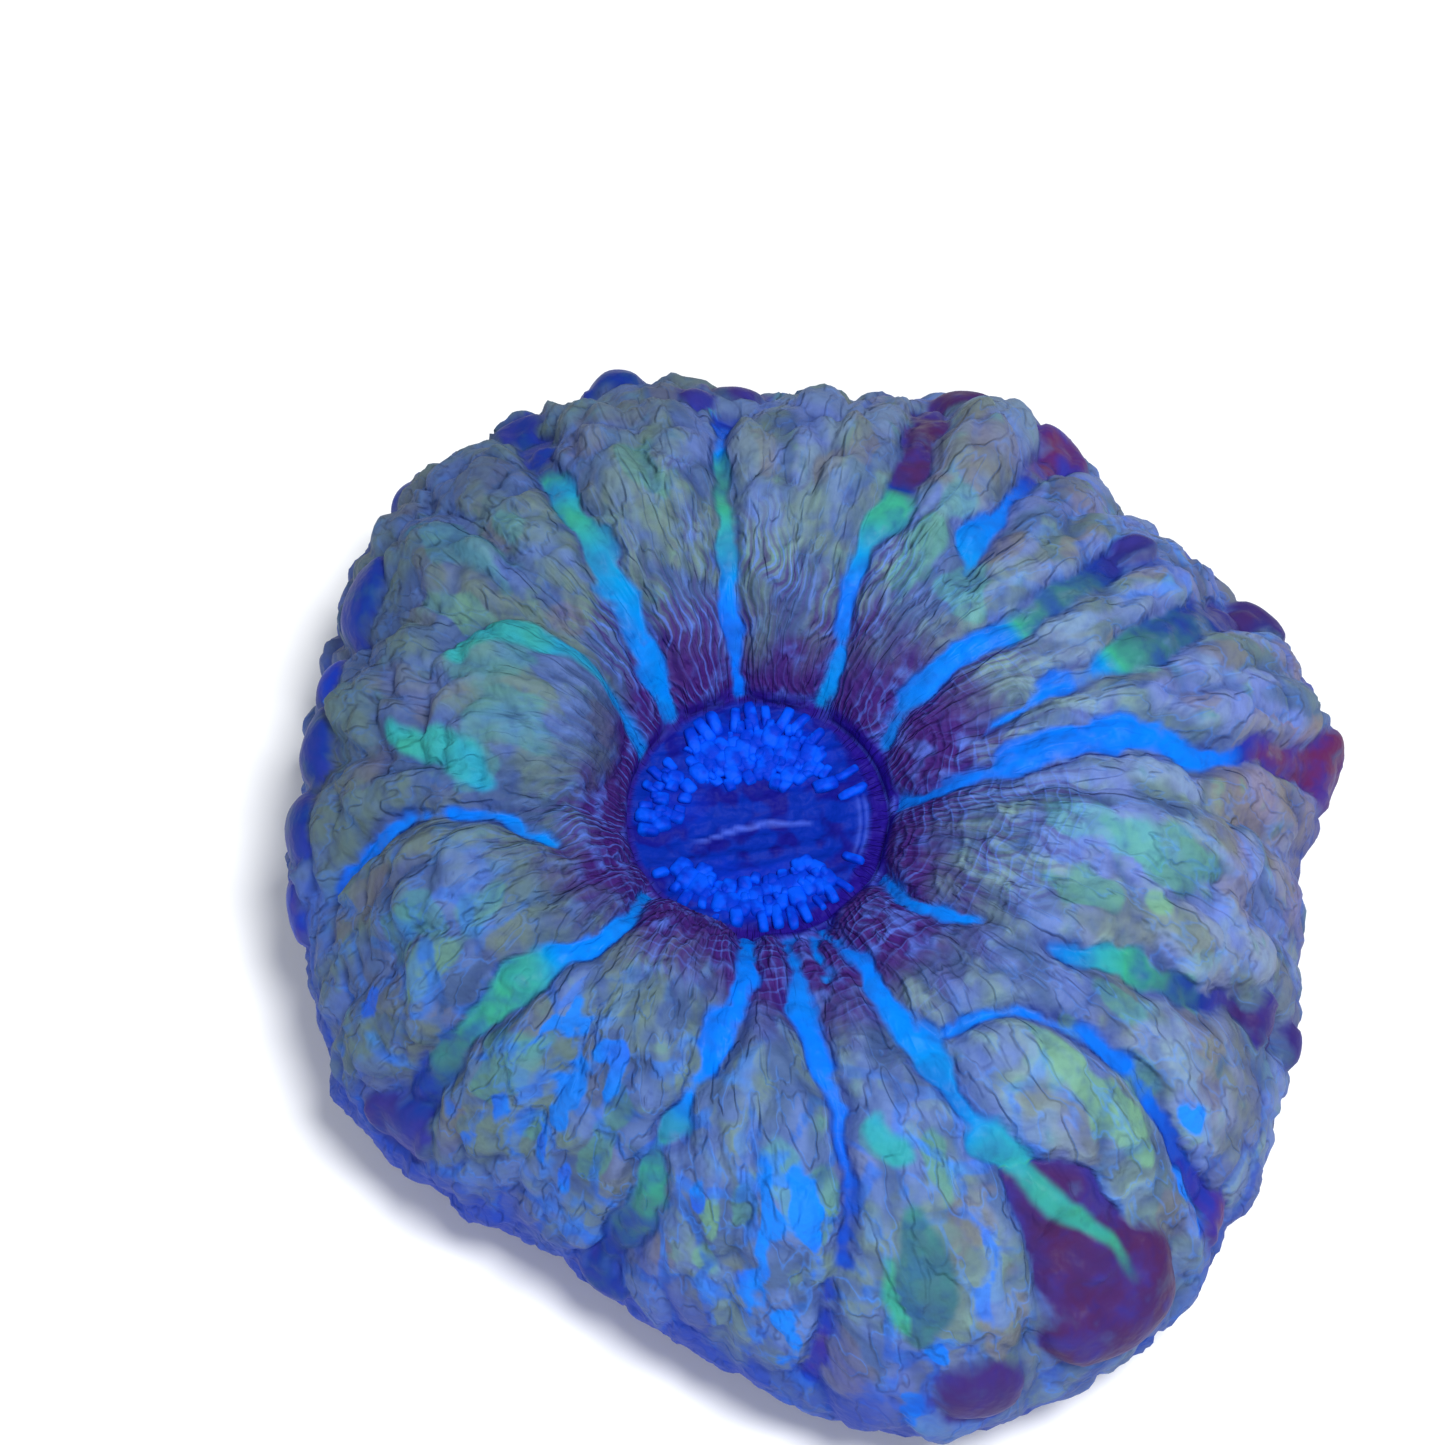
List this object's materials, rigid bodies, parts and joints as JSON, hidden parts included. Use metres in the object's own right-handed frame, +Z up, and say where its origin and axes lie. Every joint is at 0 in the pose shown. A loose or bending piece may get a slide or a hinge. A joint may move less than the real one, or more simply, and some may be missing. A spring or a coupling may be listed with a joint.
{
  "type": "indophyllia coral",
  "caption": "Solitary fleshy coral: a squat ring of swollen radial lobes with smooth ribs between them around a sunken oral disc, resting on the flat cut of its foot",
  "frame": {"origin": "on the flat cut of the foot, straight below the mouth", "axes": "+Z up through the mouth; +X towards the picture's right; -Y towards the picture's viewer"},
  "size_m": [0.0858, 0.0904, 0.0362],
  "materials": {
    "flesh": "soft moist flesh, grey-lavender and olive lobes with blue and green ribs, satin"
  },
  "bodies": {
    "root": {"coral": "flesh"}
  },
  "joints": []
}
